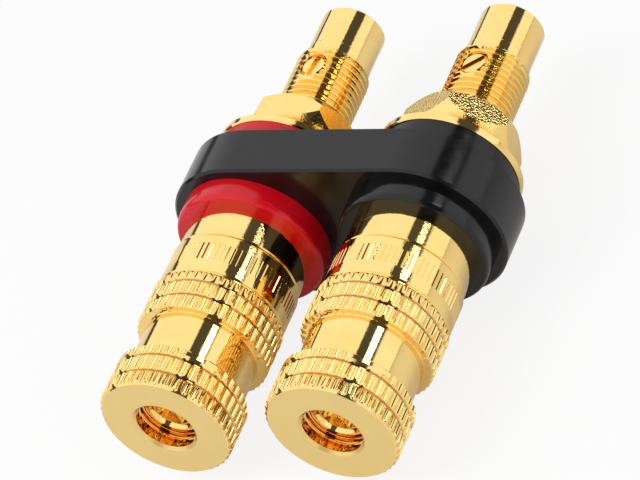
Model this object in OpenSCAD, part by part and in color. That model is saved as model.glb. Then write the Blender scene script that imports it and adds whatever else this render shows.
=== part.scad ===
// Pair of insulated loudspeaker binding posts on one mounting plate.
// The plate's rear face is y = 0. Both posts lie along Y: the knobs point to -Y, the studs to +Y.
// The origin is midway between the posts, +X runs along the plate and +Z is up.

/* [Mounting plate] */
// Distance between the two post axes
post_pitch = 19; // [18.6:0.1:22]
// Height of the stadium shaped plate
plate_h = 18.3; // [17.4:0.1:22]
// Thickness of the plate
plate_t = 5.8; // [5:0.1:8]

/* [Insulators] */
// Diameter of the front insulating ring
front_ring_d = 16; // [15.6:0.1:17]
// Thickness of the front insulating ring in front of the plate
front_ring_t = 2.55; // [2.2:0.05:4]
// Diameter of the rear insulating bush
rear_bush_d = 15.7; // [15:0.1:16.6]
// Thickness of the rear insulating bush behind the plate
rear_bush_t = 2.75; // [2.4:0.05:5]
// Diameter of the spigot that centres a ring or a bush in its hole
spigot_d = 11; // [10:0.1:12]

/* [Contact stem] */
// Diameter of the flange that the wire is clamped against
flange_d = 13.2; // [12:0.1:14]
// Thickness of the flange
flange_t = 3.85; // [3:0.05:5]
// Diameter of the thick part with the wire hole
clamp_d = 9.2; // [8.4:0.1:9.6]
// Length of the thick part with the wire hole
clamp_len = 5.6; // [5.4:0.1:6.6]
// Diameter of the cross hole for the bare wire
wire_hole_d = 3.6; // [3:0.1:4]
// Diameter of the threaded tube under the knob
tube_d = 6.2; // [5.8:0.02:6.4]
// Diameter of the plug socket
socket_d = 4; // [4:0.05:4.2]
// Depth of the plug socket
socket_len = 13.2; // [12:0.1:13.4]
// Diameter of the rear stud's thread
stud_d = 8; // [7.9:0.02:8.06]
// Distance from the plate's rear face to the end of the stud's thread
stud_len = 18.4; // [17:0.1:24]
// Diameter of the plain end of the stud
tail_d = 7; // [6.4:0.1:7.4]
// Length of the plain end behind the thread
tail_len = 5; // [4.5:0.1:8]
// Diameter of the cable bore in the stud
cable_bore_d = 5; // [4:0.1:5.2]
// Depth of the cable bore
cable_bore_len = 12.5; // [11.5:0.1:14]
// Distance from the plate's rear face to the set screw
screw_y = 14.6; // [14:0.1:15.4]
// Lean of the set screw from upright, in degrees
screw_lean = 0; // [-10:1:30]

/* [Knob and clamp collar] */
// Largest diameter of the knob
knob_d = 14; // [13.4:0.1:14.6]
// Length of the knob
knob_len = 15.1; // [14.6:0.05:18.5]
// Diameter of the polished waist between the knurls
waist_d = 12; // [11.6:0.1:12.6]
// Number of flutes round the knob
flutes = 44; // [36:1:52]
// Depth of a flute
flute_depth = 0.3; // [0.2:0.05:0.4]
// Diameter of the clamp collar
collar_d = 13.6; // [13.2:0.1:14]
// Length of the clamp collar
collar_len = 4.8; // [4.6:0.1:6]
// Number of fine serrations round the collar
serrations = 72; // [60:4:80]

/* [Hardware] */
// Diameter of the washer
washer_d = 15.5; // [14:0.1:16]
// Thickness of the washer
washer_t = 0.9; // [0.8:0.1:1.6]
// Width of the hex nut across its flats
nut_flats = 11.3; // [11:0.1:13]
// Thickness of the nut's hexagon
nut_t = 3.3; // [3:0.05:5]
// Length of the nut's round shoulder, which bears on the washer
nut_shoulder_len = 1.85; // [1:0.05:3]
// Turn of the red post's nut, in degrees
red_nut_turn = 48; // [0:1:59]
// Turn of the black post's nut, in degrees
black_nut_turn = 21; // [0:1:59]
// Diameter of the set screw
screw_d = 3; // [2.8:0.05:3.2]
// Length of the set screw
screw_len = 2.4; // [2:0.1:3]
// Turn of the slot in the red post's set screw, in degrees
red_slot_turn = 80; // [0:1:179]
// Turn of the slot in the black post's set screw, in degrees
black_slot_turn = 40; // [0:1:179]

/* [Hidden] */
$fn = 96;

red_x = -post_pitch / 2;
black_x = post_pitch / 2;

// clearances: parts that turn on each other, parts that only pass, and the seat of a closed clamp
run = 0.05;
pass = 0.15;
seat = 0.02;
over = 1;            // how far a cutting tool runs past a surface

// stations along a post, from the plate's rear face
ring_y = -plate_t - front_ring_t;            // front face of the front ring
flange_y = ring_y - flange_t;                // front face of the flange
clamp_y = flange_y - clamp_len;              // front end of the thick part
collar_y = flange_y - seat - collar_len;     // front end of the clamp collar
knob_y = collar_y - seat - knob_len;         // face of the knob
tube_y = knob_y + 2;                         // front end of the threaded tube
wire_y = flange_y - 0.45 - wire_hole_d / 2;  // axis of the wire hole
tail_y = stud_len + tail_len;                // rear end of the stud

// knob
face_chamfer = 0.4;
front_knurl_len = 5.15;
rear_knurl_len = 4.95;
front_grooves = [1.9, 3.95];                 // V grooves, from the front knurl's front end
rear_grooves = [1.77, 3.62];                 // V grooves, from the rear knurl's front end
band_groove_w = 0.8;
band_groove_depth = 0.42;
knob_bore_d = tube_d + 2 * run;
counterbore_len = 3.1;
counterbore_d = 11.5;

// clamp collar
neck_d = counterbore_d - 2 * run;
neck_len = 2.7;
ring_groove_y = 1.2;                         // from the knob's rear end to the ring's groove
ring_wire = 0.6;
serration_y = 1.45;                          // from the collar's front end to its serrations
serration_len = 2.15;
serration_depth = 0.08;

// points a revolved profile at the post's axis: profile x is the radius, profile y is the station
module turned(fn = 96) rotate([-90, 0, 0]) rotate_extrude($fn = fn) children();

// a bar of the given outline along the post, from station y, for a length
module bar_along(y, len) translate([0, y, 0]) rotate([-90, 0, 0]) linear_extrude(len) children();

// a plain round bar along the post
module rod(y, len, d) translate([0, y, 0]) rotate([-90, 0, 0]) cylinder(h = len, d = d);

// the points of one V groove, centred on station y, in a profile of radius r
function v_groove(r, y) = [
    [r, y - band_groove_w / 2], [r - band_groove_depth, y - 0.06],
    [r - band_groove_depth, y + 0.06], [r, y + band_groove_w / 2]
];

// ---------- mounting plate ----------

module mounting_plate() color([0.05, 0.05, 0.055]) {
    edge = 0.25;
    half = plate_h / 2;
    section = [
        [0, -plate_t], [half - edge, -plate_t], [half, -plate_t + edge], [half, -edge / 2],
        [half - edge / 2, 0], [0, 0]
    ];
    difference() {
        union() {
            for (x = [red_x, black_x]) translate([x, 0, 0]) turned() polygon(section);
            for (side = [0, 1]) mirror([0, 0, side]) translate([red_x, 0, 0])
                rotate([90, 0, 90]) linear_extrude(post_pitch) polygon([for (p = section) [p[1], p[0]]]);
        }
        for (x = [red_x, black_x]) translate([x, 0, 0])
            rod(-plate_t - over, plate_t + 2 * over, spigot_d + 2 * pass);
    }
}

// ---------- insulators ----------

module front_insulator() {
    r = front_ring_d / 2;
    bore = stud_d / 2 + pass;
    spigot_len = 3;
    round_w = 0.4;                           // the outer edge is a quarter of an ellipse
    round_len = 0.7;
    turned() polygon(concat(
        [[bore, ring_y]],
        [for (a = [0 : 15 : 90])
            [r - round_w * (1 - sin(a)), ring_y + round_len * (1 - cos(a))]],
        [[r, -plate_t], [spigot_d / 2, -plate_t], [spigot_d / 2, -plate_t + spigot_len],
         [bore, -plate_t + spigot_len]]
    ));
}

module rear_insulator() {
    r = rear_bush_d / 2;
    bore = stud_d / 2 + pass;
    spigot_len = 2.6;
    chamfer = 0.35;
    turned() polygon([
        [bore, -spigot_len], [spigot_d / 2, -spigot_len], [spigot_d / 2, 0], [r, 0],
        [r, rear_bush_t - 0.8], [r - chamfer, rear_bush_t - 0.45], [r - chamfer, rear_bush_t],
        [bore, rear_bush_t]
    ]);
}

// ---------- washer, nut and set screw ----------

module washer() {
    r = washer_d / 2;
    bevel = 0.15;
    y = rear_bush_t;
    turned() polygon([
        [stud_d / 2 + pass, y], [r - bevel, y], [r, y + bevel], [r, y + washer_t - bevel],
        [r - bevel, y + washer_t], [stud_d / 2 + pass, y + washer_t]
    ]);
}

// chamfered hexagon with a round shoulder in front of it; the nut bears on its washer
module hex_nut(turn) {
    corner = nut_flats / 2 / cos(30);
    land = nut_flats / 2 - 0.25;
    steep = 1.15;                            // rise of the chamfer for each millimetre of radius
    reach = corner + 0.2;
    shoulder_r = nut_flats / 2 - 0.55;
    seat_y = rear_bush_t + washer_t;
    hex_y = seat_y + nut_shoulder_len;
    end_y = hex_y + nut_t;
    difference() {
        union() {
            rod(seat_y, nut_shoulder_len + 0.5, 2 * shoulder_r);
            intersection() {
                translate([0, hex_y, 0]) rotate([0, -turn, 0]) rotate([-90, 0, 0])
                    cylinder(h = nut_t, r = corner, $fn = 6);
                turned() polygon([
                    [0, hex_y], [land, hex_y], [reach, hex_y + (reach - land) * steep],
                    [reach, end_y - (reach - land) * steep], [land, end_y], [0, end_y]
                ]);
            }
        }
        rod(seat_y - over, end_y - seat_y + 2 * over, stud_d + 2 * run);
        // countersink at the thread's rear mouth
        turned() polygon([
            [0, end_y - 0.4], [stud_d / 2, end_y - 0.4], [stud_d / 2 + 0.5, end_y + 0.1], [0, end_y + 0.1]
        ]);
    }
}

// moves a shape that stands on the post's axis along +Z to the set screw's hole
module at_screw() translate([0, screw_y, 0]) rotate([0, screw_lean, 0]) children();

module set_screw(slot_turn) {
    top = stud_d / 2 - 0.45;
    slot_w = 0.7;
    slot_depth = 0.8;
    bevel = 0.3;
    at_screw() difference() {
        translate([0, 0, top - screw_len]) rotate_extrude() polygon([
            [0, 0], [screw_d / 2 - 2 * bevel, 0], [screw_d / 2, 2 * bevel],
            [screw_d / 2, screw_len - bevel], [screw_d / 2 - bevel, screw_len], [0, screw_len]
        ]);
        translate([0, 0, top - slot_depth / 2 + over / 2]) rotate([0, 0, slot_turn])
            cube([screw_d + over, slot_w, slot_depth + over], center = true);
    }
}

// ---------- contact stem ----------

module contact_stem() color([0.93, 0.74, 0.32]) {
    tube_r = tube_d / 2;
    clamp_r = clamp_d / 2;
    flange_r = flange_d / 2;
    stud_r = stud_d / 2;
    tail_r = tail_d / 2;
    mouth = 0.4;
    difference() {
        turned() polygon([
            [0, tube_y], [tube_r - 0.25, tube_y], [tube_r, tube_y + 0.3], [tube_r, clamp_y],
            [clamp_r - 0.4, clamp_y], [clamp_r, clamp_y + 0.4], [clamp_r, flange_y],
            [flange_r - 0.3, flange_y], [flange_r, flange_y + 0.35], [flange_r, ring_y],
            [stud_r, ring_y], [stud_r, stud_len - 1.6], [stud_r - 0.45, stud_len - 1.1],
            [stud_r - 0.45, stud_len - 0.1], [tail_r, stud_len], [tail_r, tail_y - 0.25], [tail_r - 0.25, tail_y], [0, tail_y]
        ]);
        // plug socket with its countersunk mouth and drilled point
        turned() polygon([
            [0, tube_y - over], [socket_d / 2 + mouth, tube_y - over], [socket_d / 2 + mouth, tube_y],
            [socket_d / 2, tube_y + mouth], [socket_d / 2, tube_y + socket_len],
            [0, tube_y + socket_len]
        ]);
        // cable bore with its drilled point
        turned() polygon([
            [0, tail_y + over], [cable_bore_d / 2 + 0.3, tail_y + over], [cable_bore_d / 2 + 0.3, tail_y],
            [cable_bore_d / 2, tail_y - 0.3], [cable_bore_d / 2, tail_y - cable_bore_len],
            [0, tail_y - cable_bore_len - cable_bore_d / 2 * tan(31)]
        ]);
        // wire hole right through the thick part
        translate([0, wire_y, -clamp_d]) cylinder(h = 2 * clamp_d, d = wire_hole_d);
        // set screw's hole, from the top into the cable bore
        at_screw() {
            cylinder(h = stud_d, d = screw_d + 2 * run);
            translate([0, 0, stud_r - 0.35]) cylinder(h = 0.6, r1 = screw_d / 2, r2 = screw_d / 2 + 0.6);
        }
    }
}

// ---------- clamp collar and its retaining ring ----------

// outline of a fine knurl: wide lands with a narrow V between each two
module serrated_outline(r) polygon([
    for (k = [0 : serrations - 1], c = [[0, 0.01], [0.56, 0.01], [0.78, -serration_depth]])
        let (a = (k + c[0]) * 360 / serrations)
        [(r + c[1]) * cos(a), (r + c[1]) * sin(a)]
]);

module clamp_collar() color([0.95, 0.76, 0.34]) {
    r = collar_d / 2;
    bevel = 0.2;
    bore = clamp_d / 2 + pass;
    end = collar_y + collar_len;
    groove_y = collar_y - ring_groove_y;
    groove_r = neck_d / 2 - ring_wire / 2;
    difference() {
        turned() polygon([
            [bore, collar_y - neck_len], [neck_d / 2 - 0.3, collar_y - neck_len],
            [neck_d / 2, collar_y - neck_len + 0.3], [neck_d / 2, groove_y - ring_wire / 2],
            [groove_r, groove_y - ring_wire / 2], [groove_r, groove_y + ring_wire / 2],
            [neck_d / 2, groove_y + ring_wire / 2], [neck_d / 2, collar_y],
            [r - bevel, collar_y], [r, collar_y + bevel], [r, end - bevel], [r - bevel, end],
            [bore + 0.3, end], [bore, end - 0.3]
        ]);
        bar_along(collar_y + serration_y, serration_len) difference() {
            circle(r = r + over);
            serrated_outline(r);
        }
    }
}

// open spring ring that sits in the neck's groove and runs in the knob's groove
module collar_ring() color([0.75, 0.6, 0.3]) {
    y = collar_y - ring_groove_y;
    inner = neck_d / 2 - ring_wire / 2;
    outer = inner + ring_wire;
    gap_w = 1.6;
    difference() {
        turned() polygon([
            [inner, y - ring_wire / 2], [outer - 0.1, y - ring_wire / 2], [outer, y - ring_wire / 2 + 0.1],
            [outer, y + ring_wire / 2 - 0.1], [outer - 0.1, y + ring_wire / 2], [inner, y + ring_wire / 2]
        ]);
        translate([-gap_w / 2, y - ring_wire, -outer - over]) cube([gap_w, 2 * ring_wire, 3]);
    }
}

// ---------- knob ----------

// round bar with concave flutes and narrow lands between them
module fluted_outline(r) {
    pitch = 2 * PI * r / flutes;
    mouth = pitch * 0.84;
    flute_r = (mouth * mouth / 4 + flute_depth * flute_depth) / (2 * flute_depth);
    difference() {
        circle(r = r + 0.001);
        for (k = [0 : flutes - 1]) rotate(k * 360 / flutes)
            translate([r - flute_depth + flute_r, 0]) circle(r = flute_r, $fn = 48);
    }
}

// takes the flutes out of a knurl that starts at station y
module flute_cutter(y, len, r) bar_along(y, len) difference() {
    circle(r = r + over);
    fluted_outline(r);
}

module knob() color([0.95, 0.78, 0.36]) {
    r = knob_d / 2;
    waist_r = waist_d / 2;
    bore = knob_bore_d / 2;
    rear = knob_y + knob_len;
    rear_knurl_y = rear - rear_knurl_len;
    groove_y = rear - ring_groove_y;
    groove_r = neck_d / 2 + ring_wire / 2 + run;
    groove_w = ring_wire + 0.2;
    bevel = 0.3;
    difference() {
        turned() polygon(concat(
            [[bore, knob_y + 0.3], [bore + 0.3, knob_y], [r - face_chamfer, knob_y],
             [r, knob_y + face_chamfer]],
            [for (g = front_grooves) each v_groove(r, knob_y + g)],
            [[r, knob_y + front_knurl_len - bevel], [r - bevel, knob_y + front_knurl_len],
             [waist_r + 0.1, knob_y + front_knurl_len], [waist_r, knob_y + front_knurl_len + 0.1],
             [waist_r, rear_knurl_y - 0.1], [waist_r + 0.1, rear_knurl_y],
             [r - bevel, rear_knurl_y], [r, rear_knurl_y + bevel]],
            [for (g = rear_grooves) each v_groove(r, rear_knurl_y + g)],
            [[r, rear - bevel], [r - bevel, rear],
             [counterbore_d / 2, rear], [counterbore_d / 2, groove_y + groove_w / 2],
             [groove_r, groove_y + groove_w / 2], [groove_r, groove_y - groove_w / 2],
             [counterbore_d / 2, groove_y - groove_w / 2], [counterbore_d / 2, rear - counterbore_len],
             [bore, rear - counterbore_len]]
        ));
        flute_cutter(knob_y + face_chamfer, front_knurl_len - face_chamfer + 0.05, r);
        flute_cutter(rear_knurl_y - 0.05, rear_knurl_len - face_chamfer + 0.05, r);
    }
}

// ---------- the parts in place ----------

module red_part() color([0.78, 0.05, 0.09]) children();
module black_part() color([0.06, 0.06, 0.065]) children();
module gold_part() color([0.93, 0.74, 0.32]) children();
module at_red() translate([red_x, 0, 0]) children();
module at_black() translate([black_x, 0, 0]) children();

mounting_plate();

at_red() red_part() front_insulator();  // red_front_insulator
at_red() red_part() rear_insulator();  // red_rear_insulator
at_red() gold_part() washer();  // red_washer
at_red() gold_part() hex_nut(red_nut_turn);  // red_hex_nut
at_red() contact_stem();  // red_contact_stem
at_red() gold_part() set_screw(red_slot_turn);  // red_set_screw
at_red() clamp_collar();  // red_clamp_collar
at_red() collar_ring();  // red_collar_ring
at_red() knob();  // red_knob

at_black() black_part() front_insulator();  // black_front_insulator
at_black() black_part() rear_insulator();  // black_rear_insulator
at_black() gold_part() washer();  // black_washer
at_black() gold_part() hex_nut(black_nut_turn);  // black_hex_nut
at_black() contact_stem();  // black_contact_stem
at_black() gold_part() set_screw(black_slot_turn);  // black_set_screw
at_black() clamp_collar();  // black_clamp_collar
at_black() collar_ring();  // black_collar_ring
at_black() knob();  // black_knob
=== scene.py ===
"""Looks of a pair of gold-plated loudspeaker binding posts on one insulating plate.

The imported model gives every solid. This script gives the finishes, cuts the threads into the
studs and the knobs' bores, runs the knobs' front flutes out through their chamfers, and sets
the studio: floor, lamps, surroundings and camera.
Both posts lie along Y, with their knobs at -Y, and Z is up. Lengths are in metres.
"""

import math

import bmesh
import bpy
import numpy as np
from mathutils import Matrix, Vector


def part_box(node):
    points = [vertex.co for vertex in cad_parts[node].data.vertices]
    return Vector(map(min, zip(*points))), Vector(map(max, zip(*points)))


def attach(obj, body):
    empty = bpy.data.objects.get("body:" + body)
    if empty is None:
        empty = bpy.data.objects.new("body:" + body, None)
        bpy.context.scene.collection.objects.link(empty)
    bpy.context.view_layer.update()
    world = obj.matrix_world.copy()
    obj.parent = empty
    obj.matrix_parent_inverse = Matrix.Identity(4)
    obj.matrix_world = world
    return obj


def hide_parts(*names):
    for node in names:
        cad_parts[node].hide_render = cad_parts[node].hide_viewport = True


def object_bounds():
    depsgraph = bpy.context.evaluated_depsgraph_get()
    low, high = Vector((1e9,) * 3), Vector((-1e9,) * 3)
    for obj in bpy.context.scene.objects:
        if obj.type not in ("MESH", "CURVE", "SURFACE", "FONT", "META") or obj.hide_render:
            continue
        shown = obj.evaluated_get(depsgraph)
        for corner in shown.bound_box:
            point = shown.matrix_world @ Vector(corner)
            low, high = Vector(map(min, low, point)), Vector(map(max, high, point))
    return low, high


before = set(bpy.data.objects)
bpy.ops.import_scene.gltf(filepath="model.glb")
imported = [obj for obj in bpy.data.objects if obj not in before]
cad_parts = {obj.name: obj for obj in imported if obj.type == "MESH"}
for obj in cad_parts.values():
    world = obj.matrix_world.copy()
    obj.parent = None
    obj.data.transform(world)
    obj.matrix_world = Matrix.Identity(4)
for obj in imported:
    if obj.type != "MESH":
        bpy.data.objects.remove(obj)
cad_low, cad_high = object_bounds()

MM = 0.001
POSTS = ("red", "black")

# threads on the studs and in the knobs
PITCH = 0.75 * MM
STEPS_A_TURN = 64
THREAD_FLAT = 0.05 * MM                 # half the width of a groove's floor
THREAD_SLOPE = math.tan(math.radians(30))
CUT_PAST = 0.12 * MM                    # how far a groove's cutter stands past the face it cuts
STUD_RADIUS = 4.0 * MM
STUD_THREAD_DEPTH = 0.42 * MM
STUD_THREAD_START = 0.6 * MM            # behind the plate's rear face
STUD_THREAD_STOP = 6.05 * MM            # in front of the stem's rear end
STUD_CREASE = 18                        # degrees between faces above which an edge is sharp
KNOB_BORE = 3.12 * MM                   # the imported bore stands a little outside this
KNOB_THREAD_DEPTH = 0.36 * MM
KNOB_THREAD_START = 0.66 * MM           # behind the knob's face
KNOB_THREAD_STOP = 3.6 * MM             # in front of the knob's rear end
KNOB_CREASE = 14

# knurl and mouth of the knobs
FLUTES = 44
FLUTE_DEPTH = 0.3 * MM
FLUTE_SHARE = 0.84                      # a flute's mouth, as a share of the flutes' spacing
FRONT_GROOVES = (1.9 * MM, 3.95 * MM)   # behind the knob's face
REAR_GROOVES = (3.18 * MM, 1.33 * MM)   # in front of the knob's rear end
BORE_SHADE_RADIUS = 3.6 * MM                    # the radius inside which the bore gets painted shade
FACE_MARGIN = 0.01 * MM                 # how far behind the knob's face its satin ends
MOUTH_DEPTH = 0.31 * MM                 # how far behind that the satin of the bore's chamfer ends
MOUTH_MARGIN = 0.1 * MM                 # how far outside the bore's look that satin goes

# plain colours of the finishes, and of the painted shade in the knobs' grooves and bores
GOLD = (0.95, 0.66, 0.23, 1)
GOLD_PALE = (0.96, 0.70, 0.27, 1)
GOLD_DEEP_AND_BORE_SHADE = (0.86, 0.44, 0.11, 1)
GOLD_GROOVE_SHADE = (0.45, 0.17, 0.03, 1)
GOLD_SATIN = (0.86, 0.65, 0.26, 1)
BRONZE = (0.72, 0.50, 0.22, 1)
RED = (0.62, 0.003, 0.012, 1)
RED_DARK = (0.50, 0.002, 0.008, 1)
BLACK = (0.0045, 0.0045, 0.0048, 1)
BLACK_WORN = (0.008, 0.008, 0.0085, 1)


# ---------- shader maths ----------

class Flow:
    """An output socket in a node tree. Python's operators on it add Math nodes."""

    def __init__(self, shader, socket):
        self.shader, self.socket = shader, socket

    def math(self, operation, *values):
        return self.shader.node("ShaderNodeMath", {"operation": operation}, values)

    def __add__(self, other): return self.math("ADD", self, other)
    def __sub__(self, other): return self.math("SUBTRACT", self, other)
    def __mul__(self, other): return self.math("MULTIPLY", self, other)
    def __radd__(self, other): return self.math("ADD", other, self)
    def __rsub__(self, other): return self.math("SUBTRACT", other, self)
    def __rmul__(self, other): return self.math("MULTIPLY", other, self)
    def __lt__(self, other): return self.math("LESS_THAN", self, other)
    def __abs__(self): return self.math("ABSOLUTE", self)


class Shader:
    """A node tree that grows by one call for each node."""

    def __init__(self, tree):
        self.tree = tree
        tree.nodes.clear()

    def node(self, kind, settings=None, values=(), out=0):
        """Adds a node with its settings, then its inputs' values or links, by order or by name."""
        node = self.tree.nodes.new(kind)
        for name, setting in (settings or {}).items():
            setattr(node, name, setting)
        pairs = values.items() if isinstance(values, dict) else enumerate(values)
        for place, value in pairs:
            if isinstance(value, Flow):
                self.tree.links.new(value.socket, node.inputs[place])
            else:
                node.inputs[place].default_value = value
        return Flow(self, node.outputs[out]) if len(node.outputs) else node

    def position(self):
        """The shaded point as one Flow and as its X, Y and Z, in metres in the row frame."""
        here = self.node("ShaderNodeTexCoord", out="Object")
        split = self.node("ShaderNodeSeparateXYZ", values=[here]).socket.node
        return here, [Flow(self, split.outputs[axis]) for axis in "XYZ"]

    def noise(self, where, size, detail, roughness=0.5):
        """Soft noise from 0 to 1 whose features are about size metres wide."""
        return self.node("ShaderNodeTexNoise", {}, {"Vector": where, "Scale": 1 / size,
                         "Detail": detail, "Roughness": roughness})

    def ramp(self, value, low, high):
        """0 below low and 1 above high, with a smooth rise between them."""
        return self.node("ShaderNodeMapRange", {"interpolation_type": "SMOOTHSTEP"},
                         {"Value": value, "From Min": low, "From Max": high})

    def blend(self, share, first, second):
        """The first colour where share is 0 and the second where it is 1."""
        node = self.node("ShaderNodeMix", {"data_type": "RGBA"}).socket.node
        for name, value in (("Factor_Float", share), ("A_Color", first), ("B_Color", second)):
            socket = next(s for s in node.inputs if s.identifier == name)
            if isinstance(value, Flow):
                self.tree.links.new(value.socket, socket)
            else:
                socket.default_value = value
        return Flow(self, next(s for s in node.outputs if s.identifier == "Result_Color"))

    def bump(self, height, depth, under=None):
        """A normal from a height of 0 to 1 that is depth metres deep, over another normal."""
        values = {"Height": height, "Distance": depth}
        if under is not None:
            values["Normal"] = under
        return self.node("ShaderNodeBump", {}, values)

    def surface(self, values):
        """Ends the tree with a Principled surface of the given inputs."""
        shader = self.node("ShaderNodeBsdfPrincipled", {}, values)
        self.node("ShaderNodeOutputMaterial", {}, {"Surface": shader})


def new_material(name):
    """A new material and the Shader that fills its tree."""
    material = bpy.data.materials.new(name)
    material.use_nodes = True
    return material, Shader(material.node_tree)


# ---------- finishes ----------

def gold_plating(name, axis_x, grain, satin_before=None, grooves=(), bore=None):
    """Bright gold plate over turned brass.

    grain is the strength of the plate's fine orange peel.
    satin_before is the Y in front of which the plate is satin, as on the knob's face; the bore's
    chamfer behind it is satin too, so it comes with bore.
    grooves are the stations of the knurl's V grooves, where the plate gets painted shade, dark and
    deep in colour.
    bore is the radius inside which the plate gets painted shade, deeper in colour, as in the knob's
    threaded hole.
    """
    material, s = new_material(name)
    here, (x, y, z) = s.position()
    across = x - axis_x
    radius = s.node("ShaderNodeMath", {"operation": "SQRT"}, [across * across + z * z])
    patches = s.noise(here, 3.0 * MM, 3.0)
    peel = s.noise(here, 0.20 * MM, 2.0)
    colour = s.blend(s.ramp(patches, 0.35, 0.7), GOLD, GOLD_PALE)
    roughness = 0.035 + 0.05 * s.ramp(patches, 0.4, 0.75)
    normal = s.bump(peel, 3.0e-6 * grain)
    # painted shade: the plate darkens to a deep orange brown along the knurl's V grooves
    for station in grooves:
        groove_shade = s.ramp(abs(y - station), 0.20 * MM, 0.08 * MM)
        colour = s.blend(groove_shade * 0.8, colour, GOLD_GROOVE_SHADE)
    if bore:
        # painted shade: inside the bore the plate is deepened in colour
        colour = s.blend((radius < bore) * 0.75, colour, GOLD_DEEP_AND_BORE_SHADE)
    if satin_before is not None:
        mouth = (y < satin_before + MOUTH_DEPTH) * (radius < bore + MOUTH_MARGIN)
        face = s.node("ShaderNodeMath", {"operation": "MAXIMUM"}, [y < satin_before, mouth])
        grit = s.noise(here, 0.09 * MM, 3.0, 0.6)
        roughness = roughness * (1 - face) + (0.36 + 0.08 * grit) * face
        normal = s.bump(grit * face, 3.0e-6, normal)
        colour = s.blend(face * 0.9, colour, GOLD_SATIN)
    s.surface({"Base Color": colour, "Metallic": 1.0, "Roughness": roughness, "Normal": normal})
    return material


def bronze_wire(name):
    """Drawn spring wire: satin, with faint streaks."""
    material, s = new_material(name)
    here, _ = s.position()
    streaks = s.noise(here, 0.4 * MM, 3.0)
    s.surface({"Base Color": s.blend(streaks, BRONZE, GOLD_DEEP_AND_BORE_SHADE), "Metallic": 1.0,
               "Roughness": 0.22 + 0.15 * streaks, "Normal": s.bump(streaks, 4.0e-6)})
    return material


def moulded_plastic(name, colour, second, roughness):
    """Glossy moulded plastic: slow sink ripples, fine grain and a few duller handled patches."""
    material, s = new_material(name)
    here, _ = s.position()
    ripples = s.noise(here, 3.5 * MM, 1.0)
    grain = s.noise(here, 0.16 * MM, 3.0, 0.6)
    handled = s.ramp(s.noise(here, 2.2 * MM, 4.0, 0.6), 0.45, 0.75)
    normal = s.bump(grain, 1.5e-6, s.bump(ripples, 1.4e-5))
    s.surface({"Base Color": s.blend(handled * 0.6 + grain * 0.25, colour, second),
               "Roughness": roughness + 0.10 * handled + 0.05 * grain,
               "IOR": 1.5, "Specular IOR Level": 0.38, "Normal": normal})
    return material


def set_material(piece, material):
    """Gives the whole piece one material."""
    piece.data.materials.clear()
    piece.data.materials.append(material)


# ---------- threads and flutes ----------

def add_cutter(points, faces):
    """A closed mesh object from points and faces, with its faces turned outwards."""
    mesh = bpy.data.meshes.new("cutter")
    mesh.from_pydata(points.tolist(), [], faces)
    closed = bmesh.new()
    closed.from_mesh(mesh)
    bmesh.ops.recalc_face_normals(closed, faces=closed.faces)
    closed.to_mesh(mesh)
    closed.free()
    cutter = bpy.data.objects.new("cutter", mesh)
    bpy.context.scene.collection.objects.link(cutter)
    return cutter


def swept_cutter(rings):
    """A closed bar from rings of points, an array of (steps, corners, 3), with flat ends."""
    steps, corners = rings.shape[0] - 1, rings.shape[1]
    ring, side = np.meshgrid(np.arange(steps), np.arange(corners), indexing="ij")
    a, b = ring * corners + side, ring * corners + (side + 1) % corners
    faces = np.stack([a, a + corners, b + corners, b], axis=2).reshape(-1, 4).tolist()
    faces += [list(range(corners)), [steps * corners + k for k in range(corners)]]
    return add_cutter(rings.reshape(-1, 3), faces)


def helical_groove(axis_x, start, end, face_r, root_r):
    """A closed ridge that cuts a thread groove: a trapezium carried along a helix.

    The section's four corners are (r, y) pairs, narrow at root_r and wide past face_r. At turn t it
    stands at the angle 2 pi t, measured from +Z towards +X, and y = start + pitch t.
    """
    past = face_r + math.copysign(CUT_PAST, face_r - root_r)
    half = THREAD_FLAT + abs(past - root_r) * THREAD_SLOPE
    corners = np.array([(root_r, -THREAD_FLAT), (root_r, THREAD_FLAT), (past, half), (past, -half)])
    steps = int(STEPS_A_TURN * (end - start) / PITCH)
    turn = np.linspace(0, (end - start) / PITCH, steps + 1)[:, None]
    angle = 2 * np.pi * turn
    return swept_cutter(np.stack([axis_x + corners[:, 0] * np.sin(angle),
                                  start + PITCH * turn + corners[:, 1],
                                  corners[:, 0] * np.cos(angle)], axis=2))


def flute_ends(axis_x, face_y, radius):
    """Short round bars that run the knob's front flutes out through the face's chamfer.

    Each bar has the flute's radius, from its mouth w and depth d: (w w / 4 + d d) / 2 d.
    """
    mouth = 2 * math.pi * radius / FLUTES * FLUTE_SHARE
    bar_r = (mouth * mouth / 4 + FLUTE_DEPTH * FLUTE_DEPTH) / (2 * FLUTE_DEPTH)
    centre_r = radius - FLUTE_DEPTH + bar_r
    sides = 32
    ends = (face_y - 0.1 * MM, face_y + 0.45 * MM)
    around = np.linspace(0, 2 * np.pi, sides + 1)[:-1]
    u, v = centre_r - bar_r * np.cos(around), bar_r * np.sin(around)
    points, faces = [], []
    for k in range(FLUTES):
        at = 2 * np.pi * k / FLUTES
        x, z = axis_x + u * np.cos(at) - v * np.sin(at), u * np.sin(at) + v * np.cos(at)
        first = len(points) * sides
        second = first + sides
        points += [np.stack([x, np.full(sides, y), z], axis=1) for y in ends]
        faces += [[first + j, second + j, second + (j + 1) % sides, first + (j + 1) % sides]
                  for j in range(sides)]
        faces += [list(range(first, second)), list(range(second, second + sides))]
    return add_cutter(np.concatenate(points), faces)


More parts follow.
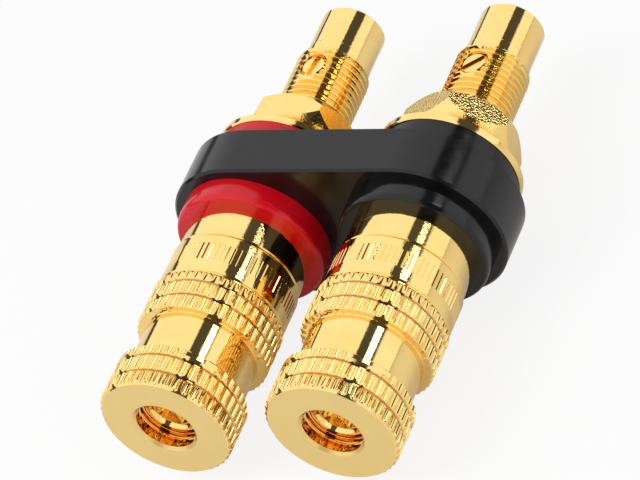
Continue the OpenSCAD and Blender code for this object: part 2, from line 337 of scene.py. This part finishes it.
def round_shading(mesh, axis_x):
    """Gives each corner of a face that lies on a cylinder about the post's axis its radial normal.

    A face lies on one when its corners' distances from the axis spread by less than same_radius,
    and it stands along the axis when its own normals are radial to within facing.
    """
    same_radius, least_radius, facing = 0.004 * MM, 2.0 * MM, 0.9
    loops, faces = len(mesh.loops), len(mesh.polygons)
    normals = np.empty(loops * 3)
    mesh.corner_normals.foreach_get("vector", normals)
    normals = normals.reshape(-1, 3)
    vertex = np.empty(loops, dtype=np.int32)
    mesh.loops.foreach_get("vertex_index", vertex)
    points = np.empty(len(mesh.vertices) * 3)
    mesh.vertices.foreach_get("co", points)
    across = points.reshape(-1, 3)[vertex] * (1, 0, 1) - (axis_x, 0, 0)
    radius = np.linalg.norm(across, axis=1)
    first = np.empty(faces, dtype=np.int32)
    mesh.polygons.foreach_get("loop_start", first)
    size = np.diff(np.append(first, loops))
    spread = np.maximum.reduceat(radius, first) - np.minimum.reduceat(radius, first)
    middle = np.add.reduceat(radius, first) / size
    on_cylinder = np.repeat((spread < same_radius) & (middle > least_radius), size)
    radial = across / np.maximum(radius, 1e-9)[:, None]
    outward = np.sum(radial * normals, axis=1)
    use = on_cylinder & (np.abs(outward) > facing)
    normals[use] = radial[use] * np.sign(outward)[use][:, None]
    mesh.normals_split_custom_set(normals.tolist())


def carved(node_name, piece_name, body, finish, axis_x, cutters, crease):
    """A node's own solid with cutters taken out of it, which stands in for the node."""
    piece = bpy.data.objects.new(piece_name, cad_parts[node_name].data.copy())
    bpy.context.scene.collection.objects.link(piece)
    # points that coincide are merged, so that the cuts find one closed solid
    solid = bmesh.new()
    solid.from_mesh(piece.data)
    bmesh.ops.remove_doubles(solid, verts=solid.verts, dist=1e-7)
    solid.to_mesh(piece.data)
    solid.free()
    for cutter in cutters:
        cut = piece.modifiers.new("cut", "BOOLEAN")
        cut.operation, cut.solver, cut.object = "DIFFERENCE", "EXACT", cutter
    made = bpy.data.meshes.new_from_object(
        piece.evaluated_get(bpy.context.evaluated_depsgraph_get()))
    piece.modifiers.clear()
    piece.data = made
    for cutter in cutters:
        bpy.data.objects.remove(cutter)
    made.shade_smooth()
    made.set_sharp_from_angle(angle=math.radians(crease))
    round_shading(made, axis_x)
    set_material(piece, finish)
    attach(piece, body)
    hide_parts(node_name)


def carve_post(post, axis_x, stem_finish, knob_finish):
    """Cuts the threads of a post's stud and of its knob's bore, and the knob's flute ends."""
    _, stem_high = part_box(f"{post}_contact_stem")
    stud = helical_groove(axis_x, STUD_THREAD_START, stem_high.y - STUD_THREAD_STOP,
                          STUD_RADIUS, STUD_RADIUS - STUD_THREAD_DEPTH)
    carved(f"{post}_contact_stem", f"{post}_threaded_stem", "base", stem_finish,
           axis_x, [stud], STUD_CREASE)
    low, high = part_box(f"{post}_knob")
    bore = helical_groove(axis_x, low.y + KNOB_THREAD_START, high.y - KNOB_THREAD_STOP,
                          KNOB_BORE, KNOB_BORE + KNOB_THREAD_DEPTH)
    ends = flute_ends(axis_x, low.y, (high.x - low.x) / 2)
    carved(f"{post}_knob", f"{post}_threaded_knob", f"{post}_knob", knob_finish,
           axis_x, [bore, ends], KNOB_CREASE)


def dress_posts():
    """Gives every node of the model its finish, and carves each post's stem and knob."""
    bronze = bronze_wire("bronze_wire")
    plastics = {"red": moulded_plastic("red_plastic", RED, RED_DARK, roughness=0.15),
                "black": moulded_plastic("black_plastic", BLACK, BLACK_WORN, roughness=0.12)}
    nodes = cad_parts
    set_material(nodes["mounting_plate"], plastics["black"])
    for post in POSTS:
        low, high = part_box(f"{post}_knob")
        axis_x = (low.x + high.x) / 2
        plain = gold_plating(f"{post}_gold", axis_x, grain=1.6)
        grooves = [low.y + d for d in FRONT_GROOVES] + [high.y - d for d in REAR_GROOVES]
        knob = gold_plating(f"{post}_knob_gold", axis_x, grain=0.7,
                            satin_before=low.y + FACE_MARGIN, grooves=grooves, bore=BORE_SHADE_RADIUS)
        for part in ("front_insulator", "rear_insulator"):
            set_material(nodes[f"{post}_{part}"], plastics[post])
        for part in ("washer", "set_screw", "clamp_collar"):
            set_material(nodes[f"{post}_{part}"], plain)
        set_material(nodes[f"{post}_hex_nut"], gold_plating(f"{post}_nut_gold", axis_x, grain=6.0))
        set_material(nodes[f"{post}_collar_ring"], bronze)
        set_material(nodes[f"{post}_knob"], knob)
        set_material(nodes[f"{post}_contact_stem"], plain)
        carve_post(post, axis_x, plain, knob)


# ---------- studio ----------

def make_floor():
    """A wide pale table top under the posts. Its own light keeps it white but leaves the shadow."""
    half = 3.0
    gap = 0.01 * MM
    lit_for_camera, lit_for_glossy = 0.86, 0.2
    z = cad_low.z - gap
    mesh = bpy.data.meshes.new("table_top")
    mesh.from_pydata([(-half, -half, z), (half, -half, z), (half, half, z), (-half, half, z)],
                     [], [(0, 1, 2, 3)])
    table = bpy.data.objects.new("table_top", mesh)
    bpy.context.scene.collection.objects.link(table)
    material, s = new_material("table_white")
    path = s.node("ShaderNodeLightPath").socket.node
    camera = Flow(s, path.outputs["Is Camera Ray"])
    glossy = Flow(s, path.outputs["Is Glossy Ray"])
    glow = s.node("ShaderNodeEmission", {}, {"Color": (1, 1, 1, 1), "Strength": 1.0})
    paper = s.node("ShaderNodeBsdfDiffuse", {}, {"Color": (0.82, 0.82, 0.82, 1)})
    share = camera * lit_for_camera + glossy * lit_for_glossy
    both = s.node("ShaderNodeMixShader", {}, [share, paper, glow])
    s.node("ShaderNodeOutputMaterial", {}, {"Surface": both})
    set_material(table, material)


def arc_light(s, angle, start, end, edge):
    """1 where the angle about Y, in degrees from +X towards +Z, lies between start and end."""
    return s.ramp(angle, start - edge, start + edge) * (1 - s.ramp(angle, end - edge, end + edge))


def make_surroundings():
    """A white studio with two long soft boxes that run along Y, and a dark gap between them.

    The camera sees plain white. The boxes and the wall below them show in reflections alone.
    """
    gap, box, wall, diffuse = 0.08, 1.06, 0.7, 0.55
    world = bpy.context.scene.world or bpy.data.worlds.new("studio")
    bpy.context.scene.world = world
    world.use_nodes = True
    s = Shader(world.node_tree)
    here = s.node("ShaderNodeTexCoord", out="Generated")
    split = s.node("ShaderNodeSeparateXYZ", values=[here]).socket.node
    dx, dz = Flow(s, split.outputs["X"]), Flow(s, split.outputs["Z"])
    turn = s.node("ShaderNodeMath", {"operation": "ARCTAN2"}, [dz, dx]) * (180 / math.pi)
    main_box = arc_light(s, turn, start=71.5, end=170, edge=1.5)
    side_box = arc_light(s, turn, start=-10, end=37, edge=3.0)
    low_wall = arc_light(s, turn, start=-180, end=-20, edge=6.0)
    seen = gap + box * main_box + box * side_box + wall * low_wall
    path = s.node("ShaderNodeLightPath").socket.node
    camera = Flow(s, path.outputs["Is Camera Ray"])
    glossy = Flow(s, path.outputs["Is Glossy Ray"])
    strength = camera + (1 - camera) * (glossy * seen + (1 - glossy) * diffuse)
    back = s.node("ShaderNodeBackground", {}, {"Color": (1, 1, 1, 1), "Strength": strength})
    s.node("ShaderNodeOutputWorld", {}, {"Surface": back})


def make_strip():
    """A bright narrow panel that the knobs' waists mirror. Only glossy rays see it."""
    centre = Vector((0.2215, 0.183, 0.2375))
    half_width, half_length, strength = 0.032, 0.033, 5.0
    facing = Vector((centre.x, 0, centre.z)).normalized()
    across = facing.cross(Vector((0, 1, 0))) * half_width
    along = Vector((0, half_length, 0))
    mesh = bpy.data.meshes.new("strip_panel")
    mesh.from_pydata([centre - across - along, centre + across - along,
                      centre + across + along, centre - across + along], [], [(0, 1, 2, 3)])
    panel = bpy.data.objects.new("strip_panel", mesh)
    bpy.context.scene.collection.objects.link(panel)
    material, s = new_material("strip_light")
    glow = s.node("ShaderNodeEmission", {}, {"Color": (1, 1, 1, 1), "Strength": strength})
    s.node("ShaderNodeOutputMaterial", {}, {"Surface": glow})
    set_material(panel, material)
    panel.visible_camera = panel.visible_diffuse = panel.visible_shadow = False


def make_lamp(name, place, size, power):
    """A soft square lamp that faces the posts, and that no surface mirrors."""
    target = Vector((0, -0.005, 0))
    data = bpy.data.lights.new(name, "AREA")
    data.shape, data.size, data.energy = "SQUARE", size, power
    lamp = bpy.data.objects.new(name, data)
    aim = (target - Vector(place)).to_track_quat("-Z", "Y")
    lamp.matrix_world = Matrix.Translation(place) @ aim.to_matrix().to_4x4()
    lamp.visible_glossy = False
    bpy.context.scene.collection.objects.link(lamp)


def make_camera():
    """A long lens above the knobs and to the black post's side."""
    place = Vector((227.23, -272.27, 290.44)) * MM
    data = bpy.data.cameras.new("camera")
    data.sensor_width, data.lens = 36, 253.1
    data.clip_start, data.clip_end = 0.01, 20
    right = Vector((0.8643, 0.3425, -0.3684)).normalized()
    ahead = Vector((-0.50296, 0.58308, -0.63801)).normalized()
    up = right.cross(ahead)
    turn = Matrix((right, up, -ahead)).transposed().to_4x4()
    camera = bpy.data.objects.new("camera", data)
    camera.matrix_world = Matrix.Translation(place) @ turn
    bpy.context.scene.collection.objects.link(camera)
    bpy.context.scene.camera = camera


dress_posts()
make_floor()
make_surroundings()
make_strip()
make_lamp("key", place=(-0.20, -0.22, 0.40), size=0.30, power=1.3)
make_lamp("fill", place=(0.32, -0.30, 0.22), size=0.35, power=0.6)
make_camera()
bpy.context.scene.view_settings.view_transform = "Standard"
